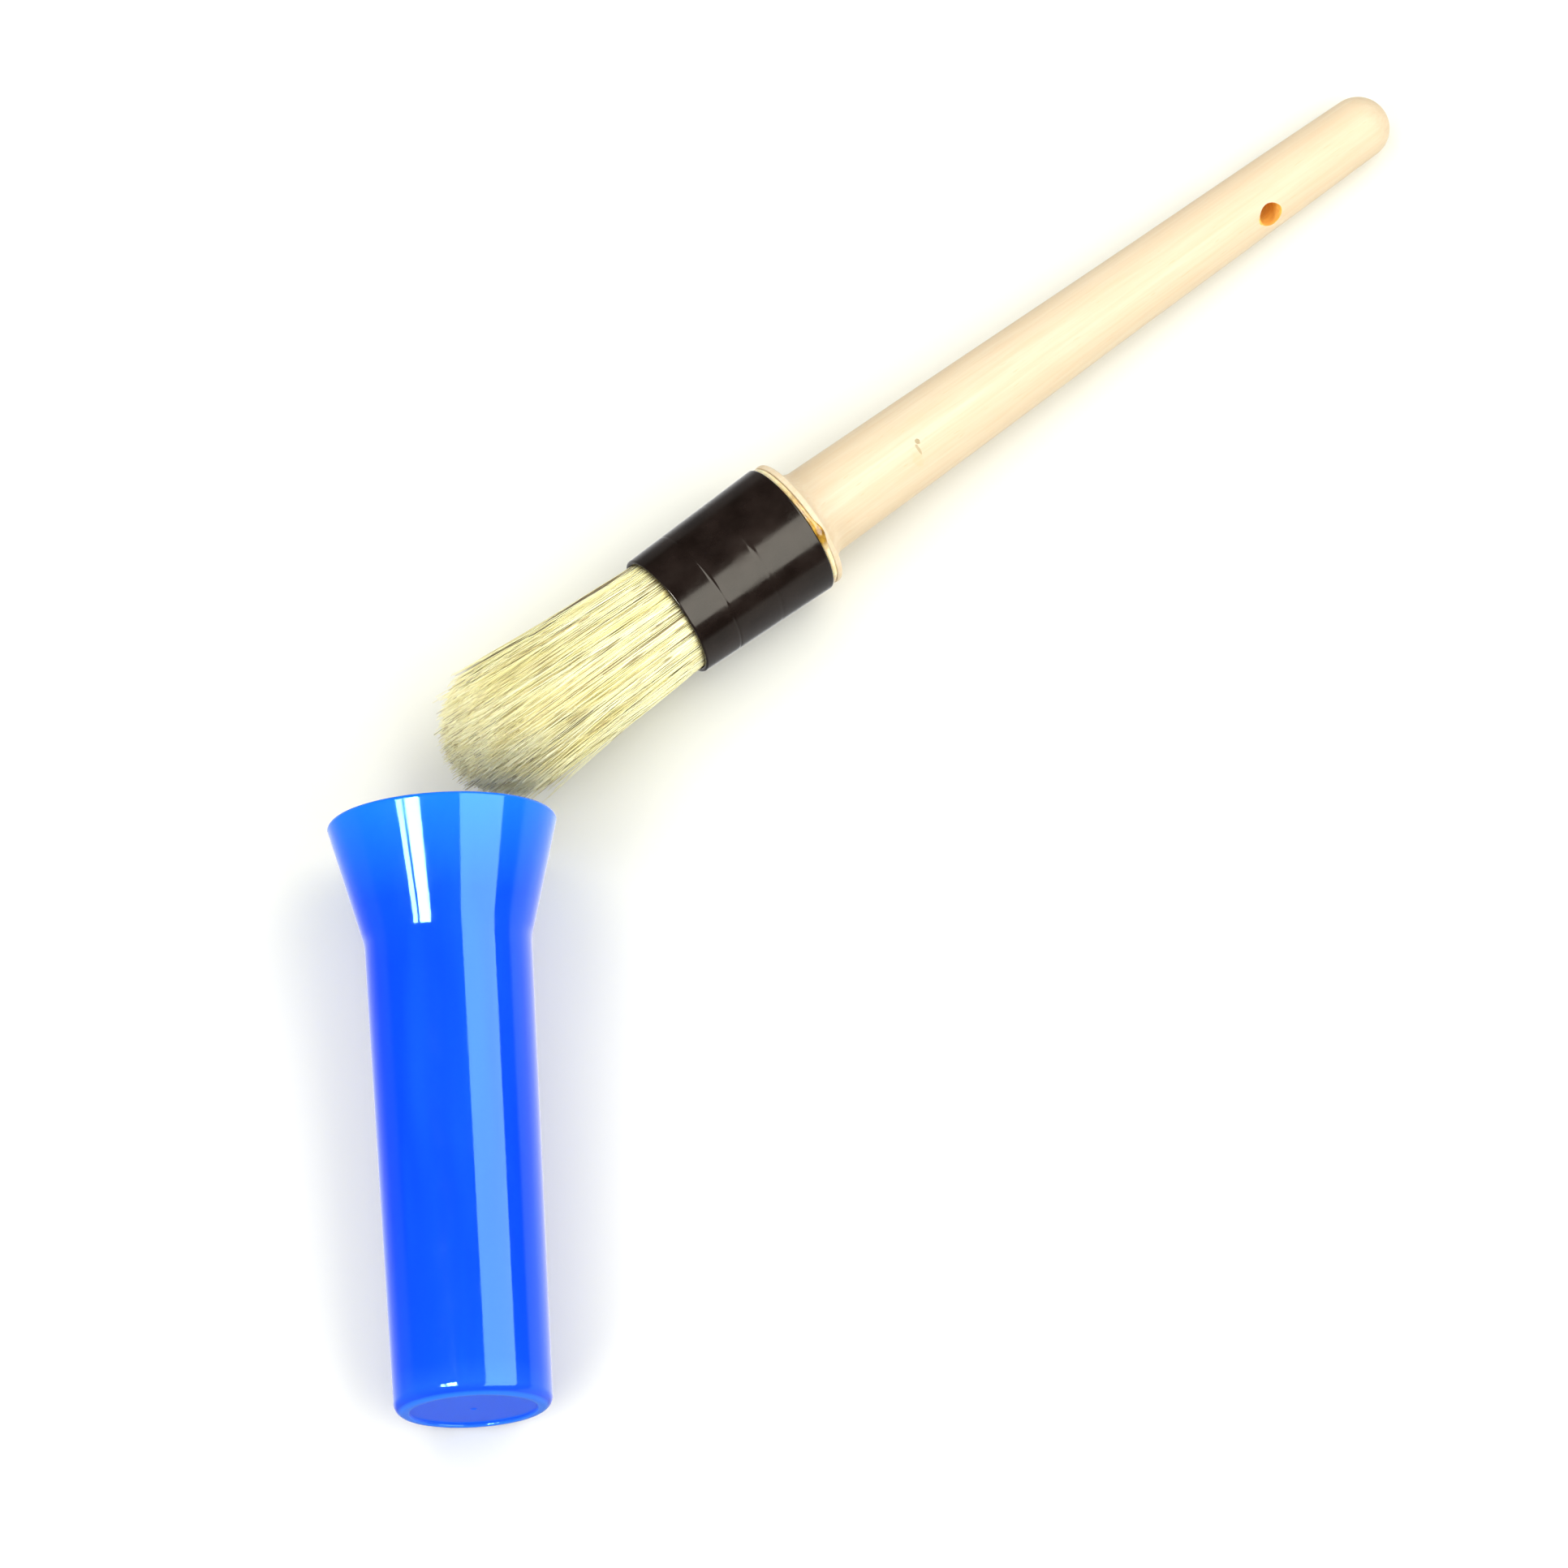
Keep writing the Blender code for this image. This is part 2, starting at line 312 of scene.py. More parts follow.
def wood_material():
    """Pale lacquered beech: fibres along the handle, faint growth bands, short flecks and one small scar."""
    n = Nodes("lacquered_beech")
    fibre = n.noise(n.place((1.0, 1.0, 0.035)), 1500.0, 4.0, 0.6)
    bands = n.noise(n.place((1.0, 1.0, 0.05)), 210.0, 2.0, 0.5, 0.6)
    cloud = n.noise(n.place((1.0, 1.0, 0.4)), 45.0, 2.0)
    colour = n.ramp(bands, (0.30, (0.65, 0.530, 0.360)), (0.70, (0.70, 0.600, 0.435)))
    colour = n.mix(n.ramp(fibre, (0.35, 0.42), (0.62, 0.0)), colour, (0.63, 0.465, 0.28))
    colour = n.mix(n.ramp(cloud, (0.40, 0.0), (0.75, 0.30)), colour, (0.71, 0.51, 0.325))
    fleck = n.noise(n.place((1.0, 1.0, 0.12), (0.3, 0.1, 0.0)), 2300.0, 1.0)
    colour = n.mix(n.ramp(fleck, (0.70, 0.0), (0.76, 0.35)), colour, (0.66, 0.44, 0.24))
    scar, smudge = scar_masks(n)
    colour = n.mix(smudge, colour, (0.61, 0.49, 0.28))
    colour = n.mix(scar, colour, (0.36, 0.28, 0.14))
    normal = n.bump(fibre, 0.10, 0.05 * MM)
    normal = n.bump(n.math("MULTIPLY", scar, -1.0), 0.5, 0.15 * MM, normal)
    gloss = n.ramp(n.noise(n.place((1.0, 1.0, 0.2)), 160.0), (0.3, 0.42), (0.7, 0.54))
    n.principled(Base_Color=colour, Roughness=gloss, Normal=normal)
    n.principled(Coat_Weight=0.04, Coat_Roughness=0.3, Subsurface_Weight=0.35, Subsurface_Scale=3.0 * MM)
    n.shader.inputs["Subsurface Radius"].default_value = (1.0, 0.8, 0.55)
    n.shader.inputs["Specular IOR Level"].default_value = 0.06
    return n


def scar_masks(n):
    """A small dark hooked mark across the grain, and the fainter smudge beside it."""
    z = FERRULE_REAR + SCAR_ALONG
    r = NECK_R - 0.8 * MM
    spot = Vector((-r * math.sin(SCAR_TURN), r * math.cos(SCAR_TURN), z))
    wobble = n.noise(n.place(), 900.0, 2.0)

    def spot_mask(shift, size, inner, outer, top):
        where = n.place(tuple(1.0 / s for s in size), tuple(-(spot + Vector(shift))))
        length = n.add("VectorMath", {"operation": "LENGTH"})
        n.put(length.inputs[0], where)
        edge = n.math("ADD", length.outputs["Value"], n.math("MULTIPLY", wobble, 0.7))
        return n.ramp(edge, (inner, top), (outer, 0.0))

    hook = spot_mask((0.3 * MM, 0.0, 0.55 * MM), (0.85 * MM, 3.0 * MM, 0.75 * MM), 0.95, 1.35, 0.80)
    tail = spot_mask((-0.9 * MM, 0.0, -0.1 * MM), (1.6 * MM, 3.0 * MM, 0.5 * MM), 0.95, 1.35, 0.60)
    smudge = spot_mask((-2.6 * MM, 0.0, -1.4 * MM), (3.2 * MM, 5.0 * MM, 2.2 * MM), 0.7, 1.6, 0.40)
    return n.math("MAXIMUM", hook, tail), smudge


def end_grain_material():
    """Bare wood inside the hanging hole, where no lacquer reached."""
    n = Nodes("bare_beech")
    grain = n.noise(n.place((1.0, 1.0, 0.1)), 1200.0, 3.0)
    colour = n.ramp(grain, (0.35, (0.84, 0.40, 0.045)), (0.65, (0.97, 0.56, 0.085)))
    n.principled(Base_Color=colour, Roughness=0.75, Normal=n.bump(grain, 0.4, 0.1 * MM))
    return n


def ferrule_material():
    """Glossy black-brown lacquer with a slight orange peel and faint rubbed patches."""
    n = Nodes("ferrule_lacquer")
    cloud = n.noise(n.place(), 170.0, 3.0)
    colour = n.ramp(cloud, (0.35, (0.0075, 0.0045, 0.0035)), (0.70, (0.016, 0.0105, 0.0085)))
    rubbed = n.ramp(n.noise(n.place((1.0, 1.0, 0.5)), 420.0, 4.0, 0.6), (0.45, 0.13), (0.75, 0.25))
    peel = n.noise(n.place(), 700.0, 2.0)
    n.principled(Base_Color=colour, Roughness=rubbed, Normal=n.bump(peel, 0.05, 0.05 * MM), IOR=1.5)
    n.shader.inputs["Specular IOR Level"].default_value = 0.27
    n.shader.inputs["Specular Tint"].default_value = (1.0, 0.95, 0.82, 1.0)
    return n


def glue_material():
    """Clear adhesive: a pale film that turns amber where it is thick."""
    n = Nodes("amber_glue")
    cloud = n.noise(n.place(), 600.0, 3.0)
    amber = n.ramp(cloud, (0.32, (0.20, 0.09, 0.01)), (0.66, (0.62, 0.37, 0.045)))
    pale = n.ramp(cloud, (0.30, (0.80, 0.62, 0.32)), (0.70, (0.93, 0.82, 0.55)))
    thick = n.add("Attribute", {"attribute_name": "thick"}).outputs["Fac"]
    colour = n.mix(thick, pale, amber)
    n.principled(Base_Color=colour, Roughness=0.16, Normal=n.bump(cloud, 0.3, 0.2 * MM))
    n.principled(Subsurface_Weight=0.35, Subsurface_Scale=1.2 * MM)
    n.shader.inputs["Subsurface Radius"].default_value = (1.0, 0.5, 0.15)
    return n


def cap_material():
    """Royal blue translucent plastic with faint pale streaks; painted light makes the flare paler, the tube
    deeper.
    """
    n = Nodes("blue_plastic")
    along = n.add("SeparateXYZ", Vector=n.place((1.0, 1.0, 1.0 / CAP_LENGTH))).outputs["Z"]
    flow = n.noise(n.place((1.0, 1.0, 0.25)), 60.0, 3.0)
    shifted = n.math("ADD", along, n.math("MULTIPLY", n.math("SUBTRACT", flow, 0.5), 0.05))
    throat = 1.0 - CAP_FLARE / CAP_LENGTH
    # Painted light: paler in the flare, where light comes in through the open mouth, and at the closed end; deeper
    # down the tube.
    colour = n.ramp(
        shifted,
        (0.00, (0.014, 0.108, 0.80)),
        (0.06, (0.0035, 0.068, 0.78)),
        (0.35, (0.0025, 0.057, 0.77)),
        (throat - 0.06, (0.0025, 0.060, 0.79)),
        (throat + 0.05, (0.0035, 0.072, 0.80)),
        (0.99, (0.009, 0.165, 0.82)),
    )
    streak = n.noise(n.place((1.0, 1.0, 0.12)), 110.0, 2.0)
    colour = n.mix(n.ramp(streak, (0.50, 0.0), (0.72, 0.16)), colour, (0.02, 0.19, 0.88))
    end, foot, panel = cap_end_painted_light(n)
    # Painted shade on the closed end's rounding, a painted highlight on its foot ring, and painted light on its
    # panel.
    colour = n.mix(end, colour, (0.0008, 0.026, 0.66))
    colour = n.mix(foot, colour, (0.025, 0.200, 0.90))
    colour = n.mix(panel, colour, (0.005, 0.095, 0.88))
    ripple = n.noise(n.place((1.0, 1.0, 2.4)), 130.0, 2.0)
    scuff = n.noise(n.place((1.0, 1.0, 0.3)), 500.0, 4.0, 0.65)
    gloss = n.ramp(scuff, (0.40, 0.055), (0.75, 0.12))
    n.principled(Base_Color=colour, Roughness=gloss, Normal=n.bump(ripple, 0.06, 0.25 * MM), IOR=1.5)
    n.principled(Subsurface_Weight=0.25, Subsurface_Scale=3.0 * MM)
    n.shader.inputs["Subsurface Radius"].default_value = (0.1, 0.4, 1.0)
    n.shader.inputs["Specular Tint"].default_value = (0.42, 1.0, 1.0, 1.0)
    return n


def cap_end_painted_light(n):
    """Painted light at the closed end: shade on its rounding, a highlight on the foot ring, and a paler panel."""
    split = n.add("SeparateXYZ", Vector=n.place())
    flat = n.add("CombineXYZ", X=split.outputs["X"], Y=split.outputs["Y"])
    length = n.add("VectorMath", {"operation": "LENGTH"})
    n.put(length.inputs[0], flat.outputs[0])
    rise = n.math("MULTIPLY", split.outputs["Z"], 1.0 / (2 * CAP_EDGE))  # 0.5 where the rounding ends
    # Painted shade on the rounding, and a painted highlight on the foot ring just outside the panel.
    end = n.ramp(rise, (0.15, 0.45), (0.50, 0.0))
    low = n.ramp(rise, (0.05, 0.8), (0.14, 0.0))
    # The panel's outer face is painted paler: painted light.
    inside = n.ramp(n.math("MULTIPLY", length.outputs["Value"], 0.5 / PANEL_R), (0.488, 1.0), (0.502, 0.0))
    outer_face = n.math("LESS_THAN", split.outputs["Z"], 0.7 * CAP_FLOOR)
    foot = n.math("MULTIPLY", low, n.math("SUBTRACT", 1.0, inside))
    return end, foot, n.math("MULTIPLY", inside, outer_face)


def bristle_material():
    """Hog bristle: ivory, golden and some brown strands, thin dark flecks, roots darkened by resin and painted
    shade.
    """
    n = Nodes("hog_bristle")
    tone = n.add("Attribute", {"attribute_name": "tone"}).outputs["Fac"]
    along = n.add("Attribute", {"attribute_name": "along"}).outputs["Fac"]
    colour = n.ramp(
        tone,
        (0.00, (0.99, 0.975, 0.66)),
        (0.55, (0.97, 0.945, 0.54)),
        (0.80, (0.86, 0.77, 0.34)),
        (0.92, (0.34, 0.240, 0.07)),
        (1.00, (0.10, 0.070, 0.03)),
    )
    mottle = n.noise(n.place((1.0, 1.0, 0.15)), 900.0, 2.0)
    colour = n.mix(n.ramp(mottle, (0.56, 0.0), (0.70, 0.55)), colour, (0.66, 0.56, 0.22))
    golden = n.noise(n.place((1.0, 1.0, 0.12)), 260.0, 2.0)
    colour = n.mix(n.ramp(golden, (0.50, 0.0), (0.64, 0.50)), colour, (0.86, 0.77, 0.28))
    fleck = n.noise(n.place((1.0, 1.0, 0.09)), 1300.0, 1.0)
    colour = n.mix(n.ramp(fleck, (0.64, 0.0), (0.71, 0.75)), colour, (0.30, 0.225, 0.06))
    tips = n.ramp(along, (0.85, 0.0), (1.0, 0.18))
    colour = n.mix(tips, colour, (0.88, 0.78, 0.38))
    # Dark roots where the strands leave the ferrule: partly resin stain, partly painted shade.
    roots = n.ramp(along, (0.055, 0.9), (0.085, 0.0))
    colour = n.mix(roots, colour, (0.34, 0.22, 0.05))
    n.principled(Base_Color=colour, Roughness=0.42, Sheen_Weight=0.08)
    return n


def inner_material(name, dark, light, scale):
    """A plain inner piece: two close tones of one colour and a fine surface."""
    n = Nodes(name)
    grain = n.noise(n.place((1.0, 1.0, 0.3)), scale, 3.0)
    n.principled(Base_Color=n.ramp(grain, (0.35, dark), (0.65, light)))
    n.principled(Roughness=0.6, Normal=n.bump(grain, 0.2, 0.1 * MM))
    return n


# ---------------------------------------------------------------- brush


def ferrule_outer(z):
    share = (z - FERRULE_FRONT) / (FERRULE_REAR - FERRULE_FRONT)
    return FERRULE_FRONT_R + (FERRULE_REAR_R - FERRULE_FRONT_R) * share


def groove(z, half, depth):
    """A shallow round-bottomed ring cut into the ferrule's outside at z."""
    shape = ((-1.0, 0.0), (-0.5, 0.6), (0.0, 1.0), (0.5, 0.6), (1.0, 0.0))
    return [(ferrule_outer(z + half * a) - depth * b, z + half * a) for a, b in shape]


def ferrule_sleeve():
    """The tapered sleeve, with rolled rims and the two faint rings that its forming left."""
    lip = 0.38 * MM
    length = FERRULE_REAR - FERRULE_FRONT
    profile = arc(FERRULE_FRONT_R - lip, FERRULE_FRONT + lip, lip, -90, 0, 8)
    profile += groove(FERRULE_FRONT + 0.27 * length, 0.35 * MM, 0.07 * MM)
    profile += groove(FERRULE_FRONT + 0.60 * length, 0.55 * MM, 0.035 * MM)
    profile += arc(FERRULE_REAR_R - lip, FERRULE_REAR - lip, lip, 0, 90, 8)
    inner_rear, inner_front = FERRULE_REAR_R - FERRULE_WALL, FERRULE_FRONT_R - FERRULE_WALL
    inner_lip = 0.2 * MM
    profile += arc(inner_rear + inner_lip, FERRULE_REAR - inner_lip, inner_lip, 90, 180, 4)
    profile += arc(inner_front + inner_lip, FERRULE_FRONT + inner_lip, inner_lip, 180, 270, 4)
    piece = turned("ferrule_sleeve", fine(profile, 1.5 * MM), BRUSH, FERRULE_SEGMENTS, closed=True)
    dress(piece, ferrule_material())
    return piece


def handle_profile():
    """Tenon, rounded collar, concave neck, taper and domed end; and where the neck ends, along the axis."""
    tenon_front_r = ferrule_outer(TENON_FRONT) - FERRULE_WALL - FIT_GAP
    tenon_rear_r = FERRULE_REAR_R - FERRULE_WALL - FIT_GAP
    chamfer, front_edge, rear_edge = 0.8 * MM, 0.25 * MM, 0.55 * MM
    profile = [(0.0, TENON_FRONT), (tenon_front_r - chamfer, TENON_FRONT)]
    profile += [(tenon_front_r, TENON_FRONT + chamfer), (tenon_rear_r, FERRULE_REAR)]
    profile += [(tenon_rear_r, COLLAR_FRONT)]
    profile += arc(COLLAR_R - front_edge, COLLAR_FRONT + front_edge, front_edge, -90, 0, 4)
    profile += arc(COLLAR_R - rear_edge, COLLAR_REAR - rear_edge, rear_edge, 0, 80, 8)
    profile += arc(NECK_R + NECK_FILLET, COLLAR_REAR + NECK_FILLET, NECK_FILLET, 266, 180, 16)
    neck, dome = COLLAR_REAR + NECK_FILLET, HANDLE_END - HANDLE_END_R
    profile += arc(0.0, dome, HANDLE_END_R, 0, 90, 18)[:-1]
    return fine(profile + [(0.0, HANDLE_END)], 1.6 * MM), neck


def handle_wood():
    """The turned handle, cut by a drill that eases the hole's edges."""
    profile, neck = handle_profile()
    piece = turned("handle_wood", profile, BRUSH, HANDLE_SEGMENTS, closed=False)
    wobble_handle(piece.data, neck)
    dress(piece, wood_material())
    drill = hole_drill()
    dress(drill, end_grain_material())
    cut = piece.modifiers.new("hanging_hole", "BOOLEAN")
    cut.operation = "DIFFERENCE"
    cut.object = drill
    cut.material_mode = "TRANSFER"
    bpy.context.view_layer.update()
    apply_modifiers(piece)
    bpy.data.objects.remove(drill)
    piece.data.set_sharp_from_angle(angle=math.radians(40.0))
    return piece


def wobble_handle(mesh, neck):
    """The few hundredths of a millimetre by which a turned and sanded handle isn't quite straight or round."""
    wave, waves, oval, oval_turn = 0.06 * MM, 9.0, 0.004, 1.1
    on_axis = 0.01 * MM
    for v in mesh.vertices:
        share = (v.co.z - neck) / (HANDLE_END - neck)
        if share > 0:
            swell = wave * math.sin(waves * share) * math.sin(math.pi * min(1.0, share))
            around = math.cos(2 * math.atan2(v.co.y, v.co.x) + oval_turn)
            r = math.hypot(v.co.x, v.co.y)
            scale = (1.0 + oval * around * min(1.0, 8 * share)) * (r + swell) / r if r > on_axis else 1.0
            v.co.x *= scale
            v.co.y *= scale


def hole_drill():
    """A bit for the hanging hole, which widens where it meets the handle's surface."""
    z = HANDLE_END - HOLE_FROM_END
    surface = BRUSH.radius("handle", z, 6.0 * MM)
    ease, clear = 0.35 * MM, 0.05 * MM
    profile = [(0.0, -2 * surface), (HOLE_R + 2 * ease, -2 * surface)]
    profile += [(HOLE_R + 2 * ease, -surface - clear)]
    profile += arc(HOLE_R + 1.2 * ease, -surface + 1.1 * ease, ease, -60, -180, 5)[1:]
    profile += [(HOLE_R, 0.0)]
    half = [(r, -z) for r, z in reversed(profile)]
    bit = turned("hanging_hole_drill", profile + half[1:], BRUSH, DRILL_SEGMENTS, closed=False)
    aim = Matrix.Rotation(HOLE_TURN, 4, "Z") @ Matrix.Rotation(math.radians(-90.0), 4, "X")
    bit.matrix_world = BRUSH.matrix @ Matrix.Translation((0.0, 0.0, z)) @ aim
    return bit


def glue_ring():
    """Adhesive squeezed out in the groove behind the ferrule: an uneven ring with one thick dab."""
    rings, around = 220, 14
    rng = np.random.default_rng(GLUE_SEED)
    angles = np.arange(rings) / rings * 2 * math.pi
    waves = (2, 3, 5, 9, 14, 23)
    uneven = sum(rng.uniform(0.3, 1.0) / k * np.sin(k * angles + rng.uniform(0, 6.28)) for k in waves)
    uneven /= abs(uneven).max()
    apart = (angles - DAB_TURN + math.pi) % (2 * math.pi) - math.pi
    dab_width = 0.20
    dab = np.exp(-((apart / dab_width) ** 2))
    centre_z = 0.5 * (FERRULE_REAR + COLLAR_FRONT)
    half_z = 0.56 * MM + 0.05 * MM * uneven + 0.50 * MM * dab
    outer = COLLAR_R - 0.10 * MM + 0.16 * MM * uneven + 0.40 * MM * dab
    inner = FERRULE_REAR_R - FERRULE_WALL - 0.25 * MM
    turn = np.arange(around) / around * 2 * math.pi
    mid_r, half_r = 0.5 * (outer + inner), 0.5 * (outer - inner)
    r = mid_r[:, None] + half_r[:, None] * np.cos(turn)[None, :]
    z = centre_z + 0.25 * MM * dab[:, None] + half_z[:, None] * np.sin(turn)[None, :]
    x, y = r * np.cos(angles)[:, None], r * np.sin(angles)[:, None]
    verts = np.stack([x, y, z], -1).reshape(-1, 3)
    faces = []
    for i in range(rings):
        for j in range(around):
            k, m = (i + 1) % rings, (j + 1) % around
            faces.append((i * around + j, k * around + j, k * around + m, i * around + m))
    mesh = bpy.data.meshes.new("glue_ring")
    mesh.from_pydata(verts.tolist(), [], faces)
    mesh.shade_smooth()
    thick = np.clip(np.exp(-(((apart + 0.35) / 0.55) ** 4)) * (0.75 + 0.3 * uneven) + dab, 0, 1)
    values = np.repeat(thick, around).astype(np.float32)
    mesh.attributes.new("thick", "FLOAT", "POINT").data.foreach_set("value", values)
    piece = link("glue_ring", mesh, BRUSH.matrix)
    dress(piece, glue_material())
    return piece


# ---------------------------------------------------------------- bristles


def strand_roots(rng):
    """Even, jittered places over the ferrule's opening, as (share of the radius, angle)."""
    index = np.arange(STRANDS) + rng.uniform(-0.4, 0.4, STRANDS)
    share = np.sqrt(np.clip((index + 0.5) / STRANDS, 0, 1))
    angle = index * math.pi * (3 - math.sqrt(5)) + rng.normal(0, 0.02, STRANDS)
    return share, angle


def strand_paths(rng):
    """The centre line of every strand, as an array strands x points x 3, from root to tip."""
    share, angle = strand_roots(rng)
    exit_r = FERRULE_FRONT_R - FERRULE_WALL - 0.25 * MM
    reach = np.linspace(0, 1, STRAND_POINTS)
    dome = TUFT_DOME * (1 - np.sqrt(np.clip(1 - (share * 0.985) ** 2, 0, 1)))
    short = np.abs(rng.normal(0, 0.9 * MM, STRANDS))
    short += (rng.random(STRANDS) < 0.08) * rng.uniform(1, 6, STRANDS) * MM
    short -= (rng.random(STRANDS) < 0.22) * rng.uniform(0.2, 2.0, STRANDS) * MM
    tip_z = dome + short - 0.3 * MM
    root_z = FERRULE_FRONT + ROOT_DEPTH
    z = root_z + (tip_z - root_z)[:, None] * reach[None, :]
    out = np.clip((FERRULE_FRONT - z) / (FERRULE_FRONT - TUFT_DOME), 0, 1.3)
    swell = exit_r + (TUFT_BELLY_R - exit_r) * (1 - (1 - np.clip(out, 0, 1)) ** 2)
    r = share[:, None] * swell
    path = np.stack([r * np.cos(angle)[:, None], r * np.sin(angle)[:, None], z], -1)
    return path + clump_pull(rng, path, out) + stray_bend(rng, share, angle, out)


def clump_pull(rng, path, out):
    """Strands drift towards the middle of their clump, which leaves soft furrows between clumps."""
    scatter, gather, onset = 0.36 * MM, 0.20, 1.6
    seeds = path[rng.choice(STRANDS, CLUMPS, replace=False)]
    root, seed_root = path[:, 0, :2], seeds[:, 0, :2]
    nearest = ((root[:, None, :] - seed_root[None, :, :]) ** 2).sum(-1).argmin(1)
    tip_gap = seeds[nearest][:, -1, :2] - path[:, -1, :2]
    shift = rng.normal(0, scatter, (CLUMPS, 2))[nearest] + gather * tip_gap
    pull = np.zeros_like(path)
    pull[:, :, :2] = shift[:, None, :] * (np.clip(out, 0, 1) ** onset)[:, :, None]
    return pull


def stray_bend(rng, share, angle, out):
    """Each strand's own small curve, and a few outer strands that stand away from the rest."""
    bend = np.zeros((STRANDS, STRAND_POINTS, 3))
    own = rng.normal(0, 0.34 * MM, (STRANDS, 2))
    wave = rng.normal(0, 0.14 * MM, (STRANDS, 2))
    stray = (rng.random(STRANDS) < 0.16) * rng.uniform(0.3, 2.2, STRANDS) * MM * share
    away = np.stack([np.cos(angle), np.sin(angle)], -1) * stray[:, None]
    bend[:, :, :2] = (own + away)[:, None, :] * (out**2)[:, :, None]
    bend[:, :, :2] += wave[:, None, :] * np.sin(5.0 * out)[:, :, None] * (out > 0)[:, :, None]
    return bend


def strand_mesh(name, path, thick, tone):
    """Tapered three-sided strands in one mesh, with their tone and the share along them as attributes."""
    count, points = path.shape[:2]
    ahead = np.gradient(path, axis=1)
    ahead /= np.linalg.norm(ahead, axis=2, keepdims=True)
    across = np.array([0.31, 0.95, 0.0])
    side = np.cross(ahead, across)
    side /= np.linalg.norm(side, axis=2, keepdims=True)
    over = np.cross(ahead, side)
    reach = np.linspace(0, 1, points)
    radius = thick[:, None] * (1.0 - 0.55 * reach[None, :] ** 2)
    corner = np.arange(STRAND_SIDES) / STRAND_SIDES * 2 * math.pi
    ring = side[:, :, None, :] * np.cos(corner)[:, None] + over[:, :, None, :] * np.sin(corner)[:, None]
    verts = (path[:, :, None, :] + ring * radius[:, :, None, None]).reshape(-1, 3)
    base = (np.arange(count) * points * STRAND_SIDES)[:, None, None]
    row = (np.arange(points - 1) * STRAND_SIDES)[None, :, None]
    at = np.arange(STRAND_SIDES)[None, None, :]
    after = (at + 1) % STRAND_SIDES
    here, ahead_row = base + row, base + row + STRAND_SIDES
    quads = np.stack([here + at, here + after, ahead_row + after, ahead_row + at], -1).reshape(-1, 4)
    roots = base[:, :, 0] + np.arange(STRAND_SIDES)[::-1][None, :]
    tips = base[:, :, 0] + (points - 1) * STRAND_SIDES + np.arange(STRAND_SIDES)[None, :]
    mesh = bpy.data.meshes.new(name)
    mesh.from_pydata(verts.tolist(), [], quads.tolist() + roots.tolist() + tips.tolist())
    mesh.shade_smooth()
    per_strand = points * STRAND_SIDES
    for label, values in (
        ("tone", np.repeat(tone, per_strand)),
        ("along", np.tile(np.repeat(reach, STRAND_SIDES), count)),
    ):
        mesh.attributes.new(label, "FLOAT", "POINT").data.foreach_set("value", values.astype(np.float32))
    return mesh


def bristle_core():
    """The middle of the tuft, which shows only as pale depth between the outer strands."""
    exit_r = FERRULE_FRONT_R - FERRULE_WALL - 1.0 * MM
    belly_r, dome, tip = TUFT_BELLY_R - 0.8 * MM, TUFT_DOME - 0.6 * MM, 1.4 * MM
    angles = [math.radians(i * 5.0) for i in range(19)]
    profile = [(belly_r * math.sin(a), tip + dome * (1 - math.cos(a))) for a in angles]
    steps = 8
    for i in range(1, steps + 1):
        s = i / steps
        profile.append((belly_r + (exit_r - belly_r) * s * s, tip + dome + (FERRULE_FRONT - tip - dome) * s))
    profile += [(exit_r, FERRULE_FRONT + ROOT_DEPTH), (0.0, FERRULE_FRONT + ROOT_DEPTH)]
    piece = turned("bristle_core", profile, BRUSH, CORE_SEGMENTS, closed=False)
    n = Nodes("packed_bristle")
    streak = n.noise(n.place((1.0, 1.0, 0.04)), 1900.0, 3.0, 0.7)
    colour = n.ramp(streak, (0.36, (0.42, 0.33, 0.12)), (0.50, (0.92, 0.88, 0.48)), (0.70, (0.97, 0.95, 0.62)))
    n.principled(Base_Color=colour, Roughness=0.7, Normal=n.bump(streak, 0.6, 0.2 * MM))
    dress(piece, n)
    return piece


def bristles():
    """All strands, from the middle of the tuft outwards, in a few pieces of equal number."""
    rng = np.random.default_rng(STRAND_SEED)
    path = strand_paths(rng)
    thick = rng.uniform(0.095, 0.165, STRANDS) * MM
    kind = rng.random(STRANDS)
    tone = rng.uniform(0.0, 0.70, STRANDS)
    for rarer_than, low, high in ((0.82, 0.72, 0.90), (0.94, 0.90, 1.0)):
        tone = np.where(kind > rarer_than, rng.uniform(low, high, STRANDS), tone)
    material = bristle_material()
    pieces = []
    for layer, rows in enumerate(np.array_split(np.arange(STRANDS), LAYERS)):
        name = f"bristles_{layer + 1}"
        piece = link(name, strand_mesh(name, path[rows], thick[rows], tone[rows]), BRUSH.matrix)
        dress(piece, material)
        pieces.append(piece)
    return pieces


# ---------------------------------------------------------------- cap


def cap_outer(z):
    share = z / (CAP_LENGTH - CAP_FLARE)
    return CAP_FOOT_R + (CAP_THROAT_R - CAP_FOOT_R) * share


